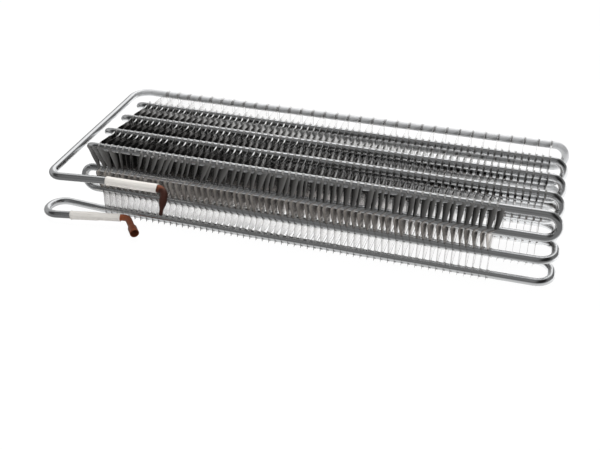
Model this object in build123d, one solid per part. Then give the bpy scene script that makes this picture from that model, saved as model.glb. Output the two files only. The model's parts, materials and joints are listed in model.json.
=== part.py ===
from build123d import *
import math
import os

os.makedirs("parts", exist_ok=True)

# Evaporator coil of a refrigerated cabinet, in millimetres.
# The passes run along X, the back is +Y and the top is +Z. While the pieces are made, X = 0 is the first
# fin at the left, and Y = Z = 0 is the centre of the top pass of the back column.

# Tube. Its inside is sealed, so it is made solid.
tube_outer = 8.0
bend_radius = 16.5  # centre line of the wide bends
close_bend_slack = 0.05  # the close bends stay this much under half their spacing

# Block of passes
columns = 5  # from back to front
layers = 4  # from top to bottom
row_pitch = 39.4  # between columns
layer_pitch = 25.4  # between layers
wide_gap = 30.0  # passes further apart than this are joined by a wide bend
right_reach = {"close": 476.3, "wide": 478.0}  # centre line of the right-hand bends
left_reach = {"close": -22.0, "wide": -17.5}  # centre line of the left-hand bends

# Fins
fin_pitch = 7.06
fin_count = 66
fin_thickness = 0.2
fin_edge = 0.6  # how far a fin's edge stands beyond the tubes
front_fin_count = 60  # the fins after these leave out the front column

# Inlet run, round the left end of the block to the front
inlet_side_x = -32.4
inlet_front = (inlet_side_x, -210.5, -13.0)
inlet_straighten = (27.0, -203.0, -13.0)
inlet_elbow = (95.6, -202.0, -13.0)
inlet_side_radius = 18.0
inlet_front_radius = 12.0
inlet_straighten_radius = 60.0
inlet_joint = 0.45  # place of the joint along the straight front run
inlet_tip = (100.5, -225.0, -28.2)

# Outlet run, a flat U loop at the lower left
outlet_rise_x = -6.0  # here the last pass starts to rise a little
outlet_rise_radius = 100.0
outlet_loop_back = (-61.0, (1 - columns) * row_pitch, -73.5)
outlet_loop_front = (-61.0, -194.5, -72.5)
outlet_elbow = (38.0, -181.0, -67.7)
outlet_loop_radius = 16.5
outlet_joint = 0.66
outlet_mouth = (57.5, -204.5, -70.0)

# Copper stubs
inlet_copper_outer = 8.0
outlet_copper_outer = 7.0
copper_wall = 0.8
elbow_radius = 9.0
neck_outer = 3.8
neck_bore = 2.1  # for the capillary tube
neck_length = 5.0
neck_taper = 10.0
socket_bore = 8.0  # for the suction line
socket_length = 10.0
socket_flare = 3.0

# Shrink sleeves
sleeve_wall = 0.5
sleeve_taper = 1.5  # length in which it narrows, for each millimetre less in diameter
inlet_sleeve = (0.06, 0.88)  # ends, as shares of the straight front run
outlet_sleeve = (0.355, 0.92)


def pass_centre(column, layer):
    """Y and Z of a pass of the tube."""
    return -column * row_pitch, -layer * layer_pitch


def circuit():
    """The passes as (column, layer), in the order in which the refrigerant flows."""
    upper = [(column, layer) for column in range(columns) for layer in (0, 1)]
    third = [(column, 2) for column in reversed(range(columns))]
    lowest = [(column, 3) for column in range(columns)]
    return upper + third + lowest


def hairpins():
    """Pairs of passes that are joined at the right-hand end."""
    order = circuit()
    return list(zip(order[0::2], order[1::2]))


def between(start, end, share):
    """Point at a share of the way from start to end."""
    return Vector(*start) + (Vector(*end) - Vector(*start)) * share


def along(start, end):
    """Unit vector from start to end."""
    return (Vector(*end) - Vector(*start)).normalized()


def bend_between(first, second):
    """Bend radius between two passes, at most half their spacing."""
    return min(bend_radius, spacing(first, second) / 2 - close_bend_slack)


def spacing(first, second):
    """Distance between the centres of two passes."""
    return math.dist(pass_centre(*first), pass_centre(*second))


def ring(outer, inner):
    """Section of a pipe, given by its diameters."""
    return Circle(outer / 2) - Circle(inner / 2)


def make_tube():
    """The whole serpentine as one bent tube, from the inlet joint to the outlet joint."""
    order = circuit()
    first_y, first_z = pass_centre(*order[0])
    points = [between(inlet_straighten, inlet_elbow, inlet_joint), inlet_straighten, inlet_front]
    points.append((inlet_side_x, first_y, first_z))
    radii = [inlet_straighten_radius, inlet_front_radius, inlet_side_radius]
    for index, (here, after) in enumerate(zip(order[:-1], order[1:])):
        side = right_reach if index % 2 == 0 else left_reach
        reach = side["wide" if spacing(here, after) > wide_gap else "close"]
        for spot in (here, after):
            points.append((reach, *pass_centre(*spot)))
            radii.append(bend_between(here, after))
    points += [(outlet_rise_x, *pass_centre(*order[-1])), outlet_loop_back, outlet_loop_front]
    points.append(between(outlet_loop_front, outlet_elbow, outlet_joint))
    radii += [outlet_rise_radius, outlet_loop_radius, outlet_loop_radius]
    path = FilletPolyline(*points, radius=radii)
    start = Plane(origin=path @ 0, z_dir=path % 0)
    return sweep(start * Circle(tube_outer / 2), path)


def slot(first, second, back_edge, front_edge):
    """Slot that lets one hairpin through, open where the plate ends between its two passes."""
    half = tube_outer / 2
    ys, zs = zip(pass_centre(*first), pass_centre(*second))
    low_y = max(min(ys) - half, front_edge)
    high_y = min(max(ys) + half, back_edge)
    height = max(zs) - min(zs) + tube_outer
    return Pos((low_y + high_y) / 2, (max(zs) + min(zs)) / 2) * Rectangle(high_y - low_y, height)


def make_fin(back_column, front_column):
    """Plate fin over the given columns, square to the tubes."""
    margin = tube_outer / 2 + fin_edge
    back_edge = margin - back_column * row_pitch
    front_edge = -front_column * row_pitch - margin
    depth = back_edge - front_edge
    height = (layers - 1) * layer_pitch + 2 * margin
    plate = Pos(back_edge - depth / 2, margin - height / 2) * Rectangle(depth, height)
    for first, second in hairpins():
        in_back = max(first[0], second[0]) >= back_column
        in_front = min(first[0], second[0]) <= front_column
        if in_back and in_front:
            plate -= slot(first, second, back_edge, front_edge)
    return extrude(Plane.YZ * plate, fin_thickness)


def make_sleeve(start, end, ends, joint, stub_outer):
    """Shrink sleeve, drawn in over the thinner stub beyond the joint."""
    length = (Vector(*end) - Vector(*start)).length
    low, high = [share * length for share in ends]
    middle = joint * length
    tube_radius, stub_radius = tube_outer / 2, stub_outer / 2
    corners = [
        (tube_radius, low),
        (tube_radius + sleeve_wall, low),
        (tube_radius + sleeve_wall, middle),
        (stub_radius + sleeve_wall, middle + (tube_outer - stub_outer) * sleeve_taper),
        (stub_radius + sleeve_wall, high),
        (stub_radius, high),
        (stub_radius, middle),
        (tube_radius, middle),
    ]
    # Where stub and tube are equally thick, two pairs of corners fall together.
    profile = Polyline(*dict.fromkeys(corners), close=True)
    sleeve = revolve(Plane.XZ * make_face(profile), Axis.Z)
    return Plane(origin=start, z_dir=along(start, end)).location * sleeve


def stub_pipe(points, outer):
    """Bent copper pipe through the given points, with its bore."""
    path = FilletPolyline(*points, radius=elbow_radius)
    start = Plane(origin=path @ 0, z_dir=path % 0)
    return sweep(start * ring(outer, outer - 2 * copper_wall), path)


def make_inlet_stub():
    """Copper elbow that is drawn down to a neck for the capillary tube."""
    start = between(inlet_straighten, inlet_elbow, inlet_joint)
    down = along(inlet_elbow, inlet_tip)
    neck_start = Vector(*inlet_tip) - down * (neck_length + neck_taper)
    pipe = stub_pipe([start, inlet_elbow, neck_start], inlet_copper_outer)
    outer, bore = inlet_copper_outer / 2, inlet_copper_outer / 2 - copper_wall
    tip = neck_taper + neck_length
    profile = Polyline(
        (bore, 0),
        (outer, 0),
        (neck_outer / 2, neck_taper),
        (neck_outer / 2, tip),
        (neck_bore / 2, tip),
        (neck_bore / 2, neck_taper),
        close=True,
    )
    neck = revolve(Plane.XZ * make_face(profile), Axis.Z)
    return pipe + Plane(origin=neck_start, z_dir=down).location * neck


def make_outlet_stub():
    """Copper elbow whose end is expanded into a socket for the suction line."""
    start = between(outlet_loop_front, outlet_elbow, outlet_joint)
    out = along(outlet_elbow, outlet_mouth)
    flare_start = Vector(*outlet_mouth) - out * (socket_length + socket_flare)
    pipe = stub_pipe([start, outlet_elbow, flare_start], outlet_copper_outer)
    pipe_radius = outlet_copper_outer / 2
    socket_radius = socket_bore / 2
    mouth = socket_flare + socket_length
    profile = Polyline(
        (pipe_radius - copper_wall, 0),
        (pipe_radius, 0),
        (socket_radius + copper_wall, socket_flare),
        (socket_radius + copper_wall, mouth),
        (socket_radius, mouth),
        (socket_radius, socket_flare),
        close=True,
    )
    socket = revolve(Plane.XZ * make_face(profile), Axis.Z)
    return pipe + Plane(origin=flare_start, z_dir=out).location * socket


def fin_stack(start, back_column):
    """Every second fin of the stack, from the given place on."""
    whole = make_fin(back_column, columns - 1)
    end_fin = make_fin(back_column, columns - 2)
    places = range(start, fin_count, 2)
    return [Pos(n * fin_pitch, 0, 0) * (whole if n < front_fin_count else end_fin) for n in places]


nodes = {
    "serpentine_tube": make_tube(),
    "inlet_sleeve": make_sleeve(
        inlet_straighten, inlet_elbow, inlet_sleeve, inlet_joint, inlet_copper_outer
    ),
    "outlet_sleeve": make_sleeve(
        outlet_loop_front, outlet_elbow, outlet_sleeve, outlet_joint, outlet_copper_outer
    ),
    "inlet_stub": make_inlet_stub(),
    "outlet_stub": make_outlet_stub(),
    "short_fins": Compound(children=fin_stack(0, 1)),
}
for number, fin in enumerate(fin_stack(1, 0), start=1):
    nodes[f"long_fin_{number:02d}"] = fin

# The origin moves to the middle of the foot of the whole coil.
limits = Compound(list(nodes.values())).bounding_box()
foot = Pos(-limits.center().X, -limits.center().Y, -limits.min.Z)
for name, solid in nodes.items():
    export_step(foot * solid, f"parts/{name}.step")
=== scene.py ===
import json
import math

import bmesh
import bpy
from mathutils import Matrix, Vector, noise


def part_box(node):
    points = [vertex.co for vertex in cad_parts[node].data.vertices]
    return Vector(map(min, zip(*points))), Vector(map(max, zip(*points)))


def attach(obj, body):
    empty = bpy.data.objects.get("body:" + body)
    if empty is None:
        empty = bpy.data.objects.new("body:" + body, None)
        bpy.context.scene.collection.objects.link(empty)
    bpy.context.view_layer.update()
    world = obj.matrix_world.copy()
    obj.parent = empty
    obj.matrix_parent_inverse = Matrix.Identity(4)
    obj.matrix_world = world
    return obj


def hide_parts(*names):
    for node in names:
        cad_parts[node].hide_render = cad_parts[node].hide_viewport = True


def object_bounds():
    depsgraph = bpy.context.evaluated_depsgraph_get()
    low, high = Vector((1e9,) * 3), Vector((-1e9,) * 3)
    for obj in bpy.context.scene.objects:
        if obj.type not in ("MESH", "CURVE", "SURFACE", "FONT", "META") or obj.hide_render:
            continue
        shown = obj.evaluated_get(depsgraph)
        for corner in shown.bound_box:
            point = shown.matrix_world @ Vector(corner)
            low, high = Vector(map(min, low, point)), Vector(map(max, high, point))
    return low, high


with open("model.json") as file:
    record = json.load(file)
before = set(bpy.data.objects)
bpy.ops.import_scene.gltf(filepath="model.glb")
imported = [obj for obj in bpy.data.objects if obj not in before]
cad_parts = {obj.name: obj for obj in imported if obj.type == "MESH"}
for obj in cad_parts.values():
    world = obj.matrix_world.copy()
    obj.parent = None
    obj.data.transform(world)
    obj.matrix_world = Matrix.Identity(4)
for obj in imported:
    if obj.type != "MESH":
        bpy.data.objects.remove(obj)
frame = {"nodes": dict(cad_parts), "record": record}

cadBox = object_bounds()
nodes = frame["nodes"]
mm = 0.001


# Shader helpers: sums of sockets are written as plain expressions

class Wire:
    def __init__(self, graph, socket):
        self.graph = graph
        self.socket = socket

    def math(self, operation, *values):
        return self.graph.math(operation, *values)

    def __add__(self, other):
        return self.math("ADD", self, other)

    def __radd__(self, other):
        return self.math("ADD", other, self)

    def __sub__(self, other):
        return self.math("SUBTRACT", self, other)

    def __rsub__(self, other):
        return self.math("SUBTRACT", other, self)

    def __mul__(self, other):
        return self.math("MULTIPLY", self, other)

    def limited(self):
        return self.math("MINIMUM", self.math("MAXIMUM", self, 0.0), 1.0)

    def past(self, start, slope):
        return ((self - start) * slope).limited()


class Graph:
    def __init__(self, tree):
        self.tree = tree
        self.tree.nodes.clear()

    def node(self, kind, settings=None, inputs=None, output=0):
        made = self.tree.nodes.new(kind)
        for key, value in (settings or {}).items():
            if key == "stops":
                self.setStops(made.color_ramp, value)
            else:
                setattr(made, key, value)
        for key, value in (inputs or {}).items():
            if isinstance(value, Wire):
                self.tree.links.new(value.socket, made.inputs[key])
            else:
                made.inputs[key].default_value = value
        return Wire(self, made.outputs[output]) if made.outputs else None

    def setStops(self, ramp, stops):
        ramp.elements.remove(ramp.elements[1])
        ramp.elements[0].position = stops[0][0]
        for place, value in stops:
            element = ramp.elements[0] if place == stops[0][0] else ramp.elements.new(place)
            element.color = (value, value, value, 1)

    def ramp(self, value, stops):
        return self.node("ShaderNodeValToRGB", {"stops": stops}, {0: value})

    def blend(self, share, first, second):
        settings = {"data_type": "RGBA"}
        return self.node("ShaderNodeMix", settings, {0: share, 6: first, 7: second}, output=2)

    def math(self, operation, *values):
        return self.node("ShaderNodeMath", {"operation": operation}, dict(enumerate(values)))

    def coordinate(self, axis, source=3):
        place = self.node("ShaderNodeTexCoord", output=source)
        return self.node("ShaderNodeSeparateXYZ", None, {0: place}, output=axis)

    def objectPlace(self, scale=(1, 1, 1)):
        place = self.node("ShaderNodeTexCoord", output=3)
        return self.node("ShaderNodeMapping", None, {0: place, 3: scale})

    def pipePlace(self, scale):
        place = self.node("ShaderNodeTexCoord", output=2)
        return self.node("ShaderNodeMapping", None, {0: place, 3: scale})

    def noise(self, place, scale, detail, roughness=0.5):
        values = {"Vector": place, "Scale": scale, "Detail": detail, "Roughness": roughness}
        return self.node("ShaderNodeTexNoise", None, values)

    def bump(self, height, strength, distance):
        values = {"Strength": strength, "Distance": distance, "Height": height}
        return self.node("ShaderNodeBump", None, values)

    def principled(self, values):
        return self.node("ShaderNodeBsdfPrincipled", None, values)

    def surface(self, shader):
        self.node("ShaderNodeOutputMaterial", None, {0: shader})


def newMaterial(name, build):
    made = bpy.data.materials.new(name)
    made.use_nodes = True
    graph = Graph(made.node_tree)
    graph.surface(build(graph))
    return made


# Camera at the photograph's place, in the coil's frame

camera = {
    "eye": (0.230823, -0.759431, 0.467306),
    "turn": 16.8245,  # degrees to the left of the back
    "tip": 30.707,  # degrees below level
    "roll": 0.624,
    "lens": 50.2992,
    "sensor": 36.0,
}


def makeCamera():
    turn, tip, roll = (math.radians(camera[key]) for key in ("turn", "tip", "roll"))
    look = Vector((-math.sin(turn) * math.cos(tip), math.cos(turn) * math.cos(tip), -math.sin(tip)))
    right = look.cross(Vector((0, 0, 1))).normalized()
    up = right.cross(look)
    rolledRight = right * math.cos(roll) + up * math.sin(roll)
    rolledUp = up * math.cos(roll) - right * math.sin(roll)
    made = bpy.data.objects.new("camera", bpy.data.cameras.new("camera"))
    bpy.context.scene.collection.objects.link(made)
    turned = Matrix((rolledRight, rolledUp, -look)).transposed().to_4x4()
    made.matrix_world = Matrix.Translation(camera["eye"]) @ turned
    made.data.sensor_width = camera["sensor"]
    made.data.lens = camera["lens"]
    made.data.clip_start = 0.01
    bpy.context.scene.camera = made


makeCamera()
print("camera set")


# Studio: white table and backdrop, with the dark room mirrored from above and from in front

studio = {
    "floorSize": 24.0,
    "floorTone": 0.9,
    "floorGlow": 0.92,  # share of the floor that shines by itself where it is seen
    "floorShine": 1.05,
    "darkFrontFrom": -0.02,  # the table in front of this line mirrors the dark room
    "darkLeftFrom": -0.3,  # and so it does to the left of this one
    "darkEdge": 0.07,
    "darkTone": 0.1,
    "sky": [(0.0, 0.9), (0.66, 1.0), (0.75, 0.12), (0.9, 0.12), (1.0, 0.17)],
    "skyTurn": 0.3535,  # makes that ramp run from low at the back to 45 degrees high at the front
    "sides": [(0.22, 0.35), (0.32, 1.0), (0.62, 1.0), (0.7, 0.15)],  # from left to right
    "roomLight": 0.9,
    "topLamp": 20.0,
    "topLampSize": 1.3,
    "topLampPlace": (-0.3, 0.35, 1.5),
    "frontLamp": 15.0,
    "frontLampSize": 0.9,
    "frontLampPlace": (1.2, -1.5, 1.1),
}


def floorShader(graph):
    seen = graph.node("ShaderNodeLightPath", output=0)
    glossy = graph.node("ShaderNodeLightPath", output=3)
    through = graph.node("ShaderNodeLightPath", output=6)
    share = (seen + glossy + through).limited() * studio["floorGlow"]
    slope = 1 / studio["darkEdge"]
    behind = ((graph.coordinate(1) - studio["darkFrontFrom"]) * slope + 1.0).limited()
    beside = ((graph.coordinate(0) - studio["darkLeftFrom"]) * slope + 1.0).limited()
    mirrored = behind * beside * (1 - studio["darkTone"]) + studio["darkTone"]
    shine = graph.math("MAXIMUM", mirrored, seen) * studio["floorShine"]
    tone = studio["floorTone"]
    matt = graph.node("ShaderNodeBsdfDiffuse", None, {"Color": (tone, tone, tone, 1)})
    glow = graph.node("ShaderNodeEmission", None, {"Color": (1, 1, 1, 1), "Strength": shine})
    return graph.node("ShaderNodeMixShader", None, {0: share, 1: matt, 2: glow})


def makeFloor():
    sheet = bmesh.new()
    bmesh.ops.create_grid(sheet, x_segments=1, y_segments=1, size=studio["floorSize"] / 2)
    mesh = bpy.data.meshes.new("table")
    sheet.to_mesh(mesh)
    sheet.free()
    floor = bpy.data.objects.new("table", mesh)
    mesh.materials.append(newMaterial("whiteTable", floorShader))
    bpy.context.scene.collection.objects.link(floor)


def makeRoom():
    world = bpy.data.worlds.new("room")
    bpy.context.scene.world = world
    world.use_nodes = True
    graph = Graph(world.node_tree)
    side, depth, height = (graph.coordinate(axis, source=0) for axis in range(3))
    tone = graph.ramp((height - depth) * studio["skyTurn"] + 0.5, studio["sky"])
    window = graph.ramp(side * 0.5 + 0.5, studio["sides"])
    seen = graph.node("ShaderNodeLightPath", output=0)
    colour = graph.blend(seen, tone * window, (1, 1, 1, 1))
    glossy = graph.node("ShaderNodeLightPath", output=3)
    strength = graph.math("MAXIMUM", graph.math("MAXIMUM", seen, glossy), studio["roomLight"])
    glow = graph.node("ShaderNodeBackground", None, {"Color": colour, "Strength": strength})
    graph.node("ShaderNodeOutputWorld", None, {0: glow})


def addLamp(name, place, size, energy):
    lamp = bpy.data.lights.new(name, "AREA")
    lamp.shape = "SQUARE"
    lamp.size = size
    lamp.energy = energy
    made = bpy.data.objects.new(name, lamp)
    made.location = place
    aim = cadBox[0].lerp(cadBox[1], 0.5) - Vector(place)
    made.rotation_euler = aim.to_track_quat("-Z", "Y").to_euler()
    made.visible_glossy = False
    bpy.context.scene.collection.objects.link(made)


bpy.context.scene.view_settings.view_transform = "Standard"
makeFloor()
makeRoom()
for side in ("top", "front"):
    addLamp(side + "Lamp", studio[side + "LampPlace"], studio[side + "LampSize"], studio[side + "Lamp"])
print("studio set")


# Finishes. A pair under a place's name is where a change starts, in metres, and how steep it is. A noise has
# its scale and detail, a bump its strength and height.

tubeFinish = {
    "light": (0.92, 0.93, 0.94, 1),
    "deeperTone": (0.80, 0.81, 0.82, 1),
    "streakShape": (3, 40, 1),
    "streaks": (5.0, 4.0),
    "patches": (60.0, 4.0),
    "backColumn": (0.085, 50.0),
    "bump": (0.15, 0.0002),
    "roughness": 0.08,
    "streakRoughness": 0.08,
    "patchRoughness": 0.1,
    "frostRoughness": 0.12,
    "frostMatt": 0.6,
}


def tubeShader(graph):
    streaks = graph.noise(graph.pipePlace(tubeFinish["streakShape"]), *tubeFinish["streaks"])
    patches = graph.noise(graph.objectPlace(), *tubeFinish["patches"])
    frosted = graph.coordinate(1).past(*tubeFinish["backColumn"])
    rough = tubeFinish["roughness"] + streaks * tubeFinish["streakRoughness"]
    rough = rough + patches * tubeFinish["patchRoughness"] + frosted * tubeFinish["frostRoughness"]
    return graph.principled({
        "Base Color": graph.blend(patches, tubeFinish["light"], tubeFinish["deeperTone"]),
        "Metallic": 1.0 - frosted * tubeFinish["frostMatt"],
        "Roughness": rough,
        "Normal": graph.bump(streaks, *tubeFinish["bump"]),
    })


foil = {
    "bright": ((0.97, 0.97, 0.97, 1), (0.92, 0.91, 0.90, 1)),
    # The grey and brown pairs, and the two colours for the front and the inside below them, are painted
    # shade: the dark tones of foil lying in shade.
    "paintedShadeGrey": ((0.34, 0.335, 0.33, 1), (0.27, 0.265, 0.26, 1)),
    "paintedShadeBrown": ((0.54, 0.48, 0.42, 1), (0.38, 0.325, 0.28, 1)),
    "paintedShadeGreyAtFront": (0.2, 0.195, 0.19, 1),
    "paintedShadeBrownInside": (0.26, 0.235, 0.22, 1),
    # Colour of the painted dark line along the lower front edge, which is painted shade.
    "rim": (0.16, 0.15, 0.14, 1),
    # Pale colour where the foil was drawn or bent. It is partly wear and partly a painted highlight.
    "paleWearAndHighlight": (0.93, 0.93, 0.92, 1),
    "waves": (110.0, 2.0),
    "grain": (700.0, 4.0),
    "grainShape": (1, 1, 0.2),
    "bump": (0.12, 0.0006),
    "heightScale": 11.0,
    # Darkening along the height is painted shade up top. The bright foil low down is a painted reflection of
    # the table.
    "deeperTone": [(0.2, 0.0), (0.3, 0.25), (0.36, 0.75), (0.55, 0.8), (0.66, 1.0)],  # along the scaled height
    "secondColumn": (0.082, -60.0),
    "upperPlate": (0.052, 150.0),
    # The upper grey is painted darker towards the front, as painted shade.
    "greyDarkens": (0.035, -25.0),
    "nearFront": (-0.03, -100.0),
    "mattFront": (-0.04, -200.0),
    "frontEdge": (-0.0475, -500.0),
    # Where that share of the darkening is lost, the foil is painted lighter.
    "behindEdge": 0.6,  # share of the dullness that is lost behind the front edge, lower down
    "matt": 0.08,
    "mattAtFront": 0.27,
    "wearAndHighlightMatt": 0.9,
    "roughness": 0.14,
    "grainRoughness": 0.1,
    "wearAndHighlightRoughness": 0.25,
}


# The foil's colour holds painted light and shade. It is duller and darker towards the top and the front,
# which is painted shade for the deep gaps between the fins and the dark room they mirror. The brown band is
# darker deeper in, which is also painted shade.
# It stays bright in the back column and low down. Low down, that brightness is a painted reflection of the
# white table, and a zone just behind the lower front edge is painted lighter. It is pale where it was drawn
# or bent, partly from wear and partly as a painted highlight.

def finShader(graph):
    depth, height = graph.coordinate(1), graph.coordinate(2)
    upper = height.past(*foil["upperPlate"])
    nearFront = depth.past(*foil["nearFront"])
    # A zone near the front, below the upper plate and just behind the front edge, loses part of the
    # darkening: painted light.
    paintedLightNearFront = nearFront * (1.0 - depth.past(*foil["frontEdge"])) * (1.0 - upper) * foil["behindEdge"]
    # Darkening with height is painted shade. The back column is left out of it.
    deeperTone = graph.ramp(height * foil["heightScale"], foil["deeperTone"])
    deeperTone = deeperTone * depth.past(*foil["secondColumn"]) * (1.0 - paintedLightNearFront)
    # The rim mark is the painted dark line along the lower front edge, which is painted shade.
    rim = graph.node("ShaderNodeAttribute", {"attribute_name": "rim"}, output=2)
    # Pale marks are partly wear and partly painted highlights on collar tops, turned-over ledges and strip
    # edges.
    worn = graph.node("ShaderNodeAttribute", {"attribute_name": "worn"}, output=2)
    grain = graph.noise(graph.objectPlace(foil["grainShape"]), *foil["grain"])
    waves = graph.noise(graph.objectPlace(), *foil["waves"])
    bright, paintedShadeGrey, paintedShadeBrown = (graph.blend(waves, *foil[tone]) for tone in ("bright", "paintedShadeGrey", "paintedShadeBrown"))
    shaded = graph.blend(depth.past(*foil["greyDarkens"]), paintedShadeGrey, foil["paintedShadeGreyAtFront"])
    paintedShadeBrownBand = graph.blend(nearFront, foil["paintedShadeBrownInside"], paintedShadeBrown)
    colour = graph.blend(deeperTone, bright, graph.blend(upper, paintedShadeBrownBand, shaded))
    colour = graph.blend(worn, graph.blend(rim, colour, foil["rim"]), foil["paleWearAndHighlight"])
    matt = (depth.past(*foil["mattFront"]) * foil["mattAtFront"] + foil["matt"]) * deeperTone
    rough = foil["roughness"] + grain * foil["grainRoughness"] + worn * foil["wearAndHighlightRoughness"]
    return graph.principled({
        "Base Color": colour,
        "Metallic": (1.0 - worn * foil["wearAndHighlightMatt"] - matt).limited(),
        "Roughness": rough,
        "Normal": graph.bump(waves, *foil["bump"]),
    })


sleeveFinish = {
    "cream": (0.98, 0.945, 0.90, 1),
    "shaded": (0.89, 0.85, 0.80, 1),
    "mottleShape": (0.12, 1, 1),
    "mottle": (420.0, 3.0),
    "fine": (1400.0, 2.0),
    "bump": (0.15, 0.0002),
    "roughness": 0.4,
    "mottleRoughness": 0.2,
}


def sleeveShader(graph):
    mottle = graph.noise(graph.objectPlace(sleeveFinish["mottleShape"]), *sleeveFinish["mottle"])
    fine = graph.noise(graph.objectPlace(), *sleeveFinish["fine"])
    return graph.principled({
        "Base Color": graph.blend(mottle, sleeveFinish["cream"], sleeveFinish["shaded"]),
        "Roughness": sleeveFinish["roughness"] + mottle * sleeveFinish["mottleRoughness"],
        "Normal": graph.bump(fine, *sleeveFinish["bump"]),
    })


copperFinish = {
    "red": (0.52, 0.16, 0.07, 1),
    "burnt": (0.07, 0.026, 0.018, 1),
    "scale": (90.0, 5.0, 0.6),
    "scaleStops": [(0.38, 0.0), (0.62, 1.0)],
    "alongStops": [(0.38, 0.05), (0.62, 0.85)],  # along the pipe, from the joint to its end
    "scaleShare": 0.5,
    "upperStub": (0.02, 30.0),
    "upperBurn": 0.4,
    "upperDark": 0.3,
    "fine": (900.0, 3.0),
    "bump": (0.2, 0.0003),
    "metallic": 0.4,
    "roughness": 0.3,
    "scaleRoughness": 0.25,
}


# The upper stub, at the inlet, is the darker one.

def copperShader(graph):
    place = graph.objectPlace()
    along = graph.node("ShaderNodeSeparateXYZ", None, {0: graph.pipePlace((1, 1, 1))})
    scale = graph.ramp(graph.noise(place, *copperFinish["scale"]), copperFinish["scaleStops"])
    fine = graph.noise(place, *copperFinish["fine"])
    burnt = scale * copperFinish["scaleShare"] + graph.ramp(along, copperFinish["alongStops"])
    upper = graph.coordinate(2).past(*copperFinish["upperStub"])
    burnt = burnt.limited() * (upper * copperFinish["upperBurn"] + (1 - copperFinish["upperBurn"]))
    burnt = (burnt + upper * copperFinish["upperDark"]).limited()
    return graph.principled({
        "Base Color": graph.blend(burnt, copperFinish["red"], copperFinish["burnt"]),
        "Metallic": copperFinish["metallic"],
        "Roughness": copperFinish["roughness"] + scale * copperFinish["scaleRoughness"],
        "Normal": graph.bump(fine, *copperFinish["bump"]),
    })


finishes = {
    "tube_aluminium": newMaterial("brightDrawnAluminium", tubeShader),
    "fin_aluminium": newMaterial("foilWithPaintedLight", finShader),
    "sleeve_plastic": newMaterial("creamShrinkSleeve", sleeveShader),
    "copper": newMaterial("heatDarkenedCopper", copperShader),
}
slotOf = {part["node"]: part["material_slot"] for part in frame["record"]["subparts"]}
for nodeName, node in nodes.items():
    node.data.materials.clear()
    node.data.materials.append(finishes[slotOf[nodeName]])
print("finishes made")


# The coil's layout. Lengths are in millimetres from the top pass of the back column at the first fin.

coil = {
    "columns": 5,
    "layers": 4,
    "rowPitch": 39.4,
    "layerPitch": 25.4,
    "tubeRadius": 4.0,
    "finPitch": 7.06,
    "finEdge": 4.6,  # from the outer tubes' centres to the edge of a fin
}
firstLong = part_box("long_fin_01")
coilOrigin = Vector((firstLong[0].x, firstLong[1].y, firstLong[1].z))
coilOrigin -= Vector((coil["finPitch"], coil["finEdge"], coil["finEdge"])) * mm


def inCoil(x, y, z):
    return coilOrigin + Vector((x, y, z)) * mm


def passPlace(column, layer, x=0.0):
    return inCoil(x, -column * coil["rowPitch"], -layer * coil["layerPitch"])


def circuit():
    upper = [(column, layer) for column in range(coil["columns"]) for layer in (0, 1)]
    third = [(column, 2) for column in reversed(range(coil["columns"]))]
    return upper + third + [(column, 3) for column in range(coil["columns"])]


def hairpinPairs():
    order = circuit()
    return list(zip(order[0::2], order[1::2]))


def addPiece(mesh, name, slotName, *replaced):
    piece = bpy.data.objects.new(name, mesh)
    bpy.context.scene.collection.objects.link(piece)
    mesh.materials.append(finishes[slotName])
    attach(piece, "root")
    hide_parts(*replaced)
    return piece


def addWall(piece, thickness, offset=-1):
    wall = piece.modifiers.new("wall", "SOLIDIFY")
    wall.thickness = thickness * mm
    wall.offset = offset


# Pipes: a route with rounded corners, given a round section and turned into a mesh

def roundedRoute(corners, radii, arcStep=0.2):
    spots = [corners[0]]
    for index, radius in enumerate(radii, start=1):
        corner = corners[index]
        back = (corners[index - 1] - corner).normalized()
        ahead = (corners[index + 1] - corner).normalized()
        turn = math.pi - back.angle(ahead)
        reach = radius * mm * math.tan(turn / 2)
        centre = corner + (back + ahead).normalized() * math.hypot(reach, radius * mm)
        start = corner + back * reach - centre
        axis = start.cross(corner + ahead * reach - centre).normalized()
        steps = max(2, math.ceil(turn / arcStep))
        spots += [centre + Matrix.Rotation(turn * n / steps, 3, axis) @ start for n in range(steps + 1)]
    return spots + [corners[-1]]


def divided(spots, longest):
    finer = [spots[0]]
    for here, after in zip(spots[:-1], spots[1:]):
        parts = max(1, math.ceil((after - here).length / longest))
        finer += [here.lerp(after, n / parts) for n in range(1, parts + 1)]
    return finer


def pipeMesh(name, spots, radii, sides=6, capped=True):
    curve = bpy.data.curves.new(name, "CURVE")
    curve.dimensions = "3D"
    curve.bevel_depth = mm
    curve.bevel_resolution = sides
    curve.use_fill_caps = capped
    spline = curve.splines.new("POLY")
    spline.points.add(len(spots) - 1)
    for point, spot, radius in zip(spline.points, spots, radii):
        point.co = (*spot, 1)
        point.radius = radius
    holder = bpy.data.objects.new(name, curve)
    bpy.context.scene.collection.objects.link(holder)
    mesh = bpy.data.meshes.new_from_object(holder)
    bpy.data.objects.remove(holder)
    mesh.name = name
    mesh.polygons.foreach_set("use_smooth", [len(face.vertices) == 4 for face in mesh.polygons])
    return mesh


# The serpentine tube, with its inlet run round the left end and its outlet loop

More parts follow.
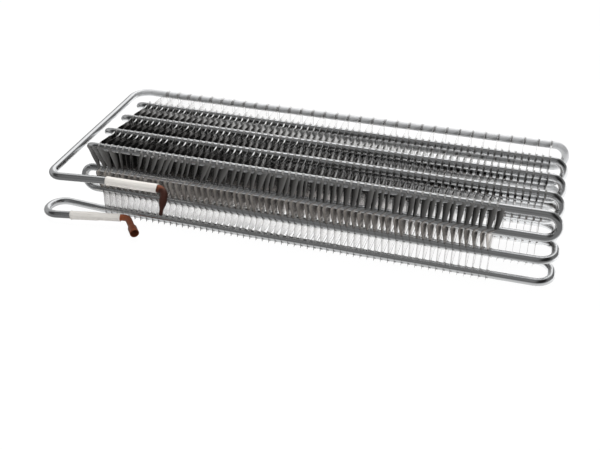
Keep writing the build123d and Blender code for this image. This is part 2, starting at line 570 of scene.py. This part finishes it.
serpentine = {
    "wideBend": 16.5,
    "closeBend": 12.65,
    "wideGap": 30.0,  # passes further apart than this have wide bends
    "rightClose": 476.3,
    "rightWide": 478.0,
    "leftClose": -22.0,
    "leftWide": -17.5,
    "sideX": -32.4,
    "inletFront": (-32.4, -210.5, -13.0),
    "inletStraighten": (27.0, -203.0, -13.0),
    "inletElbow": (95.6, -202.0, -13.0),
    "inletJoint": 0.45,
    "inletRadii": (60.0, 12.0, 18.0),
    "outletRise": -6.0,
    "outletBack": (-61.0, -157.6, -73.5),
    "outletFront": (-61.0, -194.5, -72.5),
    "outletElbow": (38.0, -181.0, -67.7),
    "outletJoint": 0.66,
    "outletRadii": (100.0, 16.5, 16.5),
    "longestStep": 12.0,
    "wobble": 0.25,
    "wobbleScale": 14.0,
    "wobbleSeed": 1,
}


def serpentineCorners():
    order = circuit()
    inletElbow, straighten = inCoil(*serpentine["inletElbow"]), inCoil(*serpentine["inletStraighten"])
    joint = straighten.lerp(inletElbow, serpentine["inletJoint"])
    corners = [joint, straighten, inCoil(*serpentine["inletFront"])]
    corners.append(passPlace(*order[0], serpentine["sideX"]))
    radii = list(serpentine["inletRadii"])
    for index, (here, after) in enumerate(zip(order[:-1], order[1:])):
        side = "right" if index % 2 == 0 else "left"
        wide = (passPlace(*here) - passPlace(*after)).length > serpentine["wideGap"] * mm
        reach = serpentine[side + ("Wide" if wide else "Close")]
        corners += [passPlace(*here, reach), passPlace(*after, reach)]
        radii += [serpentine["wideBend" if wide else "closeBend"]] * 2
    outletFront = inCoil(*serpentine["outletFront"])
    corners.append(passPlace(*order[-1], serpentine["outletRise"]))
    corners += [inCoil(*serpentine["outletBack"]), outletFront]
    corners.append(outletFront.lerp(inCoil(*serpentine["outletElbow"]), serpentine["outletJoint"]))
    return corners, radii + list(serpentine["outletRadii"])


def makeSerpentine():
    corners, radii = serpentineCorners()
    spots = divided(roundedRoute(corners, radii), serpentine["longestStep"] * mm)
    noise.seed_set(serpentine["wobbleSeed"])
    for spot in spots[1:-1]:
        sway = noise.noise_vector(spot * serpentine["wobbleScale"])
        spot += Vector((0, sway.y, sway.z)) * serpentine["wobble"] * mm
    mesh = pipeMesh("serpentineTube", spots, [coil["tubeRadius"]] * len(spots))
    addPiece(mesh, "serpentineTube", "tube_aluminium", "serpentine_tube")


makeSerpentine()
print("serpentine made")


# Copper stubs: bent pipes, one drawn down to a neck, the other widened to a socket

stubs = {
    "elbow": 9.0,
    "longestStep": 4.0,
    "wall": 0.8,
    "inletRadius": 4.0,
    "inletTip": (100.5, -225.0, -28.2),
    "inletEnd": ((15.0, 4.0), (12.0, 3.7), (9.0, 2.9), (6.0, 2.1), (4.5, 1.9), (0.0, 1.9)),
    "outletRadius": 3.5,
    "outletTip": (57.5, -204.5, -70.0),
    "outletEnd": ((13.0, 3.5), (12.0, 3.7), (11.0, 4.5), (10.0, 4.8), (1.0, 4.8), (0.0, 4.9)),
}


def makeStub(side, start, elbow):
    tip = inCoil(*stubs[side + "Tip"])
    back = (elbow - tip).normalized()
    ends = [(tip + back * left * mm, radius) for left, radius in stubs[side + "End"]]
    route = roundedRoute([start, elbow, ends[0][0]], [stubs["elbow"]])
    route = divided(route, stubs["longestStep"] * mm)
    spots = route + [spot for spot, radius in ends[1:]]
    radii = [stubs[side + "Radius"]] * len(route) + [radius for spot, radius in ends[1:]]
    mesh = pipeMesh(side + "Stub", spots, radii, sides=8, capped=False)
    addWall(addPiece(mesh, side + "Stub", "copper", side + "_stub"), stubs["wall"])


# Shrink sleeves, creased along their length and drawn in over the stub

sleeves = {
    "wall": 0.45,
    "play": 0.05,  # between the sleeve and the pipe under it
    "sides": 48,
    "rings": 30,
    "inlet": {"ends": (0.06, 0.88), "stub": 4.0, "slant": 1.4},
    "outlet": {"ends": (0.355, 0.92), "stub": 3.5, "slant": 0.6},
    "creases": ((75, 0.55), (20, 0.4), (-35, 0.3), (160, 0.5), (250, 0.4)),  # place round the tube, height
    "creaseWidth": 26,  # degrees to each side
    "creaseLeast": 0.65,
    "creaseVaries": 0.6,
    "varyScale": 45,
    "creaseDrift": 10,
    "driftScale": 30,
    "narrowing": (-1.5, 2.5),  # from before the joint to behind it
    "flare": 0.25,
    "flareLength": 3,
}


def creaseHeight(angle, along):
    total = 0.0
    for place, height in sleeves["creases"]:
        drift = sleeves["creaseDrift"] * noise.noise(Vector((place, along * sleeves["driftScale"], 0.4)))
        apart = abs((angle - place - drift + 180) % 360 - 180)
        sharp = max(0.0, 1 - apart / sleeves["creaseWidth"])
        varied = sleeves["creaseVaries"] * noise.noise(Vector((along * sleeves["varyScale"], place, 1.7)))
        total += height * sharp ** 2 * (sleeves["creaseLeast"] + varied)
    return total


def makeSleeve(side, start, end, joint):
    sleeve = sleeves[side]
    length = (end - start).length
    low, high = (share * length for share in sleeve["ends"])
    bm = bmesh.new()
    size = {"radius1": 1, "radius2": 1, "depth": high - low}
    bmesh.ops.create_cone(bm, cap_ends=False, segments=sleeves["sides"], **size)
    for n in range(1, sleeves["rings"]):
        height = (high - low) * (n / sleeves["rings"] - 0.5)
        cutAt(bm, Vector((0, 0, height)), (0, 0, 1))
    for vert in bm.verts:
        angle = math.degrees(math.atan2(vert.co.y, vert.co.x))
        along = vert.co.z + (low + high) / 2
        narrowed = smoothStep(*sleeves["narrowing"], (along - joint * length) / mm)
        radius = coil["tubeRadius"] * (1 - narrowed) + sleeve["stub"] * narrowed
        radius += sleeves["wall"] + sleeves["play"] + creaseHeight(angle, along)
        fromEnd = min(along - low, high - along) / mm
        radius += sleeves["flare"] * smoothStep(sleeves["flareLength"], 0, fromEnd)
        vert.co.x *= radius * mm
        vert.co.y *= radius * mm
        if vert.co.z > 0:
            vert.co.z += sleeve["slant"] * mm * math.cos(math.radians(angle)) * vert.co.z / (high - low)
    turn = (end - start).to_track_quat("Z", "X").to_matrix().to_4x4()
    middle = start.lerp(end, sum(sleeve["ends"]) / 2)
    bmesh.ops.transform(bm, verts=bm.verts, matrix=Matrix.Translation(middle) @ turn)
    bmesh.ops.recalc_face_normals(bm, faces=bm.faces)
    mesh = bpy.data.meshes.new(side + "Sleeve")
    bm.to_mesh(mesh)
    bm.free()
    mesh.polygons.foreach_set("use_smooth", [True] * len(mesh.polygons))
    addWall(addPiece(mesh, side + "Sleeve", "sleeve_plastic", side + "_sleeve"), sleeves["wall"])


def makeConnections():
    for side, first in (("inlet", "Straighten"), ("outlet", "Front")):
        start, elbow = inCoil(*serpentine[side + first]), inCoil(*serpentine[side + "Elbow"])
        makeStub(side, start.lerp(elbow, serpentine[side + "Joint"]), elbow)
        makeSleeve(side, start, elbow, serpentine[side + "Joint"])


# Fins: thin plates with dumb-bell slots, collars round the tubes and buckled edges

fins = {
    "hole": 4.1,  # radius of the hole round a tube
    "cell": 4.5,  # half of the square that each hole is cut from
    "neck": 2.4,  # half width of the slot between two holes
    "collar": ((0.0, 4.65), (0.5, 4.4), (2.0, 4.25)),  # steps along and radii, from the plate on
    # The dark border of the front edge is a painted shade.
    "rim": 0.9,  # width of the dark border of the front edge
    "ledge": 3.6,  # the edge above this height is turned over where it was bent
    "thickness": 0.2,
    "holeSides": 16,
    "count": 66,
    "frontCount": 60,  # the fins after these leave out the front column
    "columnCuts": (8.0, 12.0, 16.0, 21.0, 26.0, 31.0),  # lines across a plate, in front of each column
    "layerCuts": (0.26, 0.42, 0.58, 0.74),
    "stripCuts": (0.2, 0.33, 0.5, 0.66, 0.8),  # more lines across the front edge
    "foldWidth": 0.3,  # of the line along which the ledge is turned over
    # Collars are marked pale all round, and more on top, where the extra is a painted highlight of the light
    # from above.
    "collarWearAndHighlight": 0.12,
    "collarTopHighlight": 0.3,
    "sharpFrom": 35,  # degrees
}


def cutAt(bm, spot, normal, faces=None):
    chosen = bm.faces[:] if faces is None else faces
    edges = list({edge for face in chosen for edge in face.edges})
    corners = list({vert for face in chosen for vert in face.verts})
    geometry = corners + edges + chosen
    bmesh.ops.bisect_plane(bm, geom=geometry, dist=1e-7, plane_co=spot, plane_no=normal)


def inBox(spot, low, high, slack=1e-6):
    return all(low[axis] - slack < spot[axis] < high[axis] + slack for axis in (1, 2))


def deleteFaces(bm, low, high):
    chosen = [face for face in bm.faces if inBox(face.calc_center_median(), low, high)]
    bmesh.ops.delete(bm, geom=chosen, context="FACES")


def openHole(bm, centre):
    cell = Vector((0, fins["cell"], fins["cell"])) * mm
    low, high = centre - cell, centre + cell
    deleteFaces(bm, low, high)
    square = [e for e in bm.edges if e.is_boundary and all(inBox(v.co, low, high) for v in e.verts)]
    known = set(bm.edges)
    place = Matrix.Translation(centre) @ Matrix.Rotation(math.radians(90), 4, "Y")
    bmesh.ops.create_circle(bm, segments=fins["holeSides"], radius=fins["hole"] * mm, matrix=place)
    ring = [edge for edge in bm.edges if edge not in known]
    bmesh.ops.bridge_loops(bm, edges=square + ring)


def openNeck(bm, first, second):
    half = Vector((0, fins["neck"], fins["neck"])) * mm
    low = Vector((0, min(first.y, second.y), min(first.z, second.z))) - half
    high = Vector((0, max(first.y, second.y), max(first.z, second.z))) + half
    deleteFaces(bm, low, high)


def addCollars(bm, centres):
    def onHole(vert):
        return any(abs((vert.co - spot).length - fins["hole"] * mm) < 1e-5 for spot in centres)

    worn = bm.verts.layers.float["worn"]
    rim = [edge for edge in bm.edges if edge.is_boundary and all(map(onHole, edge.verts))]
    for along, radius in fins["collar"]:
        grown = bmesh.ops.extrude_edge_only(bm, edges=rim)["geom"]
        for tip in (part for part in grown if isinstance(part, bmesh.types.BMVert)):
            centre = min(centres, key=lambda spot: (tip.co - spot).length)
            outward = Vector((0, tip.co.y - centre.y, tip.co.z - centre.z)).normalized()
            tip.co = centre + outward * radius * mm + Vector((along * mm, 0, 0))
            # Paler on the upward side: a painted highlight.
            tip[worn] = fins["collarWearAndHighlight"] + fins["collarTopHighlight"] * max(0.0, outward.z)
        rim = [part for part in grown if isinstance(part, bmesh.types.BMEdge)]


def plainSheet(top, foot):
    middle = (top + foot) / 2
    bm = bmesh.new()
    bmesh.ops.create_grid(bm, x_segments=1, y_segments=1, size=0.5)
    bmesh.ops.scale(bm, verts=bm.verts, vec=(top.z - foot.z, top.y - foot.y, 1))
    place = Matrix.Translation((0, middle.y, middle.z)) @ Matrix.Rotation(math.radians(90), 4, "Y")
    bmesh.ops.transform(bm, verts=bm.verts, matrix=place)
    for layer in ("worn", "rim"):
        bm.verts.layers.float.new(layer)
    return bm


def cutSheet(bm, columns, foot):
    for height in (fins["ledge"], fins["ledge"] - fins["foldWidth"]):
        cutAt(bm, passPlace(0, 0) + Vector((0, 0, height * mm)), (0, 0, 1))
    cutAt(bm, foot + Vector((0, fins["rim"] * mm, 0)), (0, 1, 0))
    lines = [side * fins[key] for key in ("cell", "neck") for side in (-1, 1)] + [0]
    for column in columns:
        for line in lines + [-cut for cut in fins["columnCuts"]]:
            cutAt(bm, passPlace(column, 0) + Vector((0, line * mm, 0)), (0, 1, 0))
    for layer in range(coil["layers"]):
        for line in lines + [-coil["layerPitch"] * share for share in fins["layerCuts"]]:
            cutAt(bm, passPlace(0, layer) + Vector((0, 0, line * mm)), (0, 0, 1))


def cutStrips(bm, frontColumn):
    stripEnd = passPlace(frontColumn, 0).y - fins["neck"] * mm + 1e-5
    for layer in range(coil["layers"] - 1):
        for share in fins["stripCuts"]:
            strip = [face for face in bm.faces if max(vert.co.y for vert in face.verts) < stripEnd]
            spot = passPlace(0, layer) - Vector((0, 0, coil["layerPitch"] * share * mm))
            cutAt(bm, spot, (0, 0, 1), strip)


# Below the second layer the front edge has a painted dark line, which is painted shade along that edge.

def markRim(bm, foot):
    rim = bm.verts.layers.float["rim"]
    for vert in bm.verts:
        low = vert.co.z < passPlace(0, 1).z
        vert[rim] = 1.0 if low and vert.co.y < foot.y + fins["rim"] * mm / 2 else 0.0


def finSheet(backColumn, frontColumn):
    edge = coil["finEdge"] * mm
    top = passPlace(backColumn, 0) + Vector((0, edge, edge))
    foot = passPlace(frontColumn, coil["layers"] - 1) - Vector((0, edge, edge))
    columns = range(backColumn, frontColumn + 1)
    bm = plainSheet(top, foot)
    cutSheet(bm, columns, foot)
    centres = [passPlace(column, layer) for column in columns for layer in range(coil["layers"])]
    centres = [Vector((0, centre.y, centre.z)) for centre in centres]
    for centre in centres:
        openHole(bm, centre)
    for first, second in hairpinPairs():
        if first[0] in columns or second[0] in columns:
            openNeck(bm, passPlace(*first), passPlace(*second))
    cutStrips(bm, frontColumn)
    markRim(bm, foot)
    addCollars(bm, centres)
    bmesh.ops.recalc_face_normals(bm, faces=bm.faces)
    return bm


# Damage to the foil. Heights are in millimetres from the centres of the top passes. Rises, falls and other
# places along a gap are shares of it, and those of the low edge count the gaps from the top.

frontY = -(coil["columns"] - 1) * coil["rowPitch"]
sheetWaves = {"size": 0.5, "stretch": 0.024, "step": 3.1}
topEdge = {
    "columns": (1, 3),  # the first and the last gap with bent edges, from the back
    "foot": -5.4,  # height from which the edges lean
    "lean": 0.16,  # for each millimetre above it
    "leanSpread": 0.4,
    "leanRise": (0.1, 0.42),
    "leanFall": (0.6, 0.9),
    "fold": 0.95,  # how much of the ledge is turned over
    "foldSpread": 0.6,
    "foldRise": (0.11, 0.18),
    "foldFall": (0.36, 0.5),
    "foldEnds": (24, 40),  # over these fins the fold comes to its end
    "foldSide": 1.2,
    "foldDrop": 0.85,
}
combed = {
    "side": 8.0,  # how far the strips under the top front pass are swept to the side
    "spread": 0.5,
    "longer": 0.7,  # share by which they are longer at the left
    "even": 0.15,  # share of the sweep that stays the same down to the next pass
    "moreEven": 0.4,  # what the right-hand fins add to it
    "changes": (16, 40),  # over these fins the strips change from the left ones to the right ones
    "turns": (2, 7),  # the fins before these are swept to the left
    "from": 0.12,  # where the strips begin to get narrower
    "length": 0.84,
    "narrowing": 1.4,
    "rise": (-0.1, 0.14),
    "fall": (0.85, 1),
    "reach": 0.6,  # out to the front
    "lift": 5.5,  # and up over the tube
    "liftRise": (-0.1, 0.13),
    "liftFall": (0.15, 0.55),
    "bow": 1.6,
    "root": 0.15,  # share of the sweep at the strip's inner edge
    # The pale outer edge of a strip is a painted highlight.
    "paleFrom": 0.9,  # share of the strip's width, beyond which it is pale
    "pale": 0.2,
    "worn": 0.05,
}
turnedEdge = {
    "side": 5.5,  # how far the edges under the second front pass are turned to the left
    "spread": 0.4,
    "from": -0.12,
    "rise": (-0.1, 0.16),
    "fall": (0.75, 0.95),
    "narrowing": 0.8,
    "curl": 1.3,
    "worn": 0.03,
}
lowEdge = {
    "depth": 14.0,  # how far back the damage of the front edge reaches
    "bow": 1.3,
    "slant": 3.4,  # between the two lowest passes
    "slantRise": (0, 6),  # fins over which the slant begins and ends
    "slantFall": (28, 34),
    "spread": 0.6,
    "rise": (2.0, 2.18),
    "fall": (2.82, 3.0),
    # How pale the slanted edges are marked: a painted reflection of the white table.
    "worn": 0.5,
}


# Each kind of damage has its own line through the noise, away from the whole numbers, where noise is zero.

uneven = {"strip": 2, "combed": 3, "bow": 4, "slant": 5, "turned": 6, "lean": 10, "fold": 20}


def chance(index, kind):
    return noise.noise(Vector((index * 1.37 + 0.31, kind * 7.13 + 0.57, 0.19))) * 1.6


def smoothStep(low, high, value):
    share = min(1.0, max(0.0, (value - low) / (high - low)))
    return share * share * (3 - 2 * share)


def hump(rise, fall, value):
    return smoothStep(*rise, value) * (1 - smoothStep(*fall, value))


# The top edges lean between the columns, and part of their ledge is turned over. The turned-over part is
# also marked pale, which is a painted highlight.

def bentEdge(y, z, index):
    column = int(-y / coil["rowPitch"])
    gap = -y / coil["rowPitch"] - column
    above = z - topEdge["foot"]
    first, last = topEdge["columns"]
    if column < first or column > last or above < 0 or gap > topEdge["leanFall"][1]:
        return 0.0, 0.0, 0.0
    lean = topEdge["lean"] * above * hump(topEdge["leanRise"], topEdge["leanFall"], gap)
    lean *= 1 + topEdge["leanSpread"] * chance(index, uneven["lean"] + column)
    if z < fins["ledge"] - 0.01:
        return lean, 0.0, 0.0
    share = topEdge["fold"] + topEdge["foldSpread"] * chance(index, uneven["fold"] + column)
    folded = min(1.0, max(0.0, share)) * (1 - smoothStep(*topEdge["foldEnds"], index))
    folded *= hump(topEdge["foldRise"], topEdge["foldFall"], gap)
    rise = folded * max(0.0, z - fins["ledge"])
    return lean + rise * topEdge["foldSide"], -rise * topEdge["foldDrop"], folded


# The strips in front of the top front pass are combed to the side, flat over the tube above them. Their
# outer edge is marked pale, which is a painted highlight, and they are marked a little pale where they reach
# forward.

def combedStrip(y, z, index):
    outward = (frontY - fins["neck"] - y) / (coil["finEdge"] - fins["neck"])
    drop = -z / coil["layerPitch"]
    if outward < -0.01 or drop > 1:
        return 0.0, 0.0, 0.0, 0.0
    below = min(1.0, max(0.0, (drop - combed["from"]) / combed["length"]))
    toRight = smoothStep(*combed["changes"], index)
    even = combed["even"] + combed["moreEven"] * toRight
    width = (1 - below) ** combed["narrowing"] * (1 - even) + even * (1 - smoothStep(*combed["fall"], below))
    width *= smoothStep(*combed["rise"], drop)
    side = combed["side"] * (2 * smoothStep(*combed["turns"], index) - 1)
    side *= (1 + combed["longer"] * (1 - toRight)) * (1 + combed["spread"] * chance(index, uneven["combed"]))
    share = combed["root"] + (1 - combed["root"]) * outward
    bow = math.sin(max(0.0, drop) * math.pi) * chance(index, uneven["strip"]) * combed["bow"]
    lift = combed["lift"] * hump(combed["liftRise"], combed["liftFall"], drop)
    pale = width if outward > combed["paleFrom"] else 0.0
    return bow + side * width * share, -combed["reach"] * width * outward, lift * outward, pale


# The edges under the second front pass are turned like panels that get narrower towards the bottom.

def turnedPanel(y, z, index):
    forward = max(0.0, frontY + fins["cell"] - y) / (fins["cell"] + coil["finEdge"])
    part = -z / coil["layerPitch"] - 1
    if not turnedEdge["from"] < part < 1:
        return 0.0
    width = hump(turnedEdge["rise"], turnedEdge["fall"], part) * (1 - turnedEdge["narrowing"] * part)
    side = turnedEdge["side"] * (1 + turnedEdge["spread"] * chance(index, uneven["turned"]))
    return side * width * forward ** turnedEdge["curl"]


# Between the third and the fourth front pass the edges slant, and between the second and the third they bow.
# Where they slant they are also marked pale, which is a painted reflection of the white table below.

def lowStrip(y, z, index):
    toFront = max(0.0, 1 - (y - frontY + coil["finEdge"]) / lowEdge["depth"])
    drop = -z / coil["layerPitch"]
    if 1 < drop < 2:
        bow = math.sin((drop - 1) * math.pi) * chance(index, uneven["bow"]) * lowEdge["bow"]
        return bow * toFront, 0.0
    if not 2 < drop < 3:
        return 0.0, 0.0
    slant = lowEdge["slant"] * hump(lowEdge["slantRise"], lowEdge["slantFall"], index)
    slant += chance(index, uneven["slant"]) * lowEdge["spread"]
    held = hump(lowEdge["rise"], lowEdge["fall"], drop) * toFront
    return (5 - 2 * drop) * held * slant, lowEdge["worn"] * held


def buckled(vert, worn, index, x):
    y, z = (vert.co.y - coilOrigin.y) / mm, (vert.co.z - coilOrigin.z) / mm
    wave = Vector((index * sheetWaves["step"], y * sheetWaves["stretch"], z * sheetWaves["stretch"]))
    bentX, bentZ, folded = bentEdge(y, z, index)
    sweptX, sweptY, sweptZ, pale = combedStrip(y, z, index)
    panel = turnedPanel(y, z, index)
    lowX, lowHighlight = lowStrip(y, z, index)
    moved = noise.noise(wave) * sheetWaves["size"] + bentX + sweptX + lowX - panel
    vert.co += Vector((x + moved, sweptY, bentZ + sweptZ)) * mm
    # Pale marks combine wear with painted highlights.
    marks = folded, lowHighlight, -sweptY * combed["worn"], pale * combed["pale"], panel * turnedEdge["worn"]
    vert[worn] = max(vert[worn], *marks)


def finMesh(sheet, indexes, name):
    whole = bmesh.new()
    for layer in ("worn", "rim"):
        whole.verts.layers.float.new(layer)
    mesh = bpy.data.meshes.new(name)
    for index in indexes:
        copy = sheet.copy()
        worn = copy.verts.layers.float["worn"]
        for vert in copy.verts:
            buckled(vert, worn, index, index * coil["finPitch"] + fins["thickness"] / 2)
        part = bpy.data.meshes.new("part")
        copy.to_mesh(part)
        whole.from_mesh(part)
        bpy.data.meshes.remove(part)
        copy.free()
    for vert in whole.verts:
        vert.co.x += coilOrigin.x
    whole.to_mesh(mesh)
    whole.free()
    mesh.polygons.foreach_set("use_smooth", [True] * len(mesh.polygons))
    mesh.set_sharp_from_angle(angle=math.radians(fins["sharpFrom"]))
    return mesh


def addFins(name, sheet, indexes, replaced):
    piece = addPiece(finMesh(sheet, indexes, name), name, "fin_aluminium", replaced)
    addWall(piece, fins["thickness"], offset=0)


def makeFins():
    front = coil["columns"] - 1
    sheets = {(back, reach): finSheet(back, reach) for back in (0, 1) for reach in (front, front - 1)}
    for index in range(1, fins["count"], 2):
        sheet = sheets[0, front if index < fins["frontCount"] else front - 1]
        number = (index + 1) // 2
        addFins(f"plateFin{number:02d}", sheet, [index], f"long_fin_{number:02d}")
    shortOnes = range(0, fins["count"], 2)
    whole = [index for index in shortOnes if index < fins["frontCount"]]
    rest = [index for index in shortOnes if index >= fins["frontCount"]]
    half = len(whole) // 2
    for name, sheet, indexes in (
        ("shortFins", sheets[1, front], whole[:half]),
        ("shortFinsMiddle", sheets[1, front], whole[half:]),
        ("shortFinsRightEnd", sheets[1, front - 1], rest),
    ):
        addFins(name, sheet, indexes, "short_fins")
    for sheet in sheets.values():
        sheet.free()


makeFins()
print("fins made")
makeConnections()
print("connections made")
